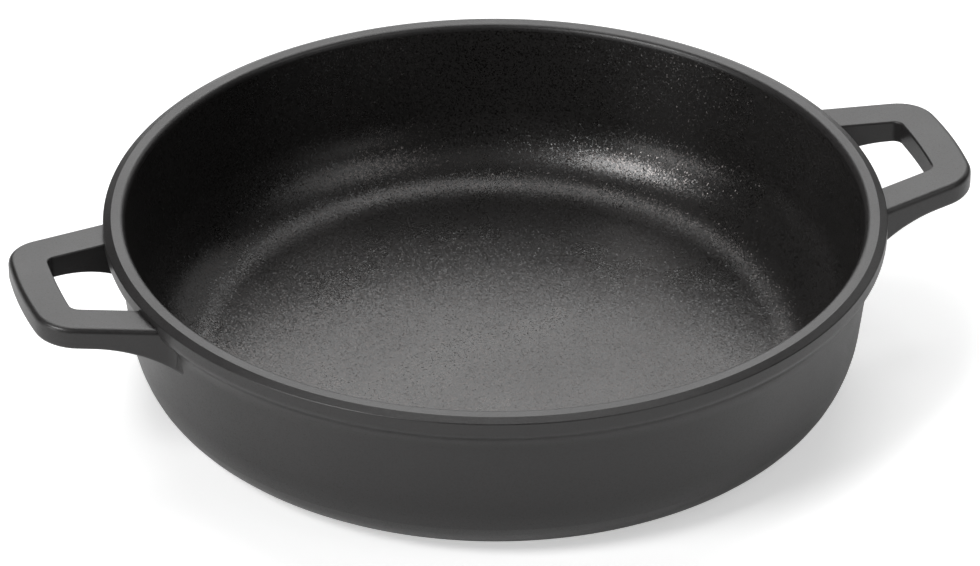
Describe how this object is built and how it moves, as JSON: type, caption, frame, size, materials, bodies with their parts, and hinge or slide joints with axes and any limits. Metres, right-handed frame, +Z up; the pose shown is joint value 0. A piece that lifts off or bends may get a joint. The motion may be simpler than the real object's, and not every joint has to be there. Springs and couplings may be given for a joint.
{
  "type": "two-handled pan",
  "caption": "Shallow round cast pan with a flat flared rim, a speckled non-stick inside and an open loop handle on each side.",
  "frame": {"origin": "centre of the base, on the surface that the pan stands on", "axes": "+X runs out along the right-hand handle, +Y across the bowl, +Z up through the open mouth"},
  "size_m": [0.3682, 0.2942, 0.0698],
  "materials": {
    "cast_coat": "cast aluminium under a matt dark grey coat",
    "nonstick": "satin black non-stick coat with fine light speckles"
  },
  "bodies": {
    "root": {"pan_body": "cast_coat", "left_handle": "cast_coat", "right_handle": "cast_coat", "nonstick_lining": "nonstick"}
  },
  "joints": []
}
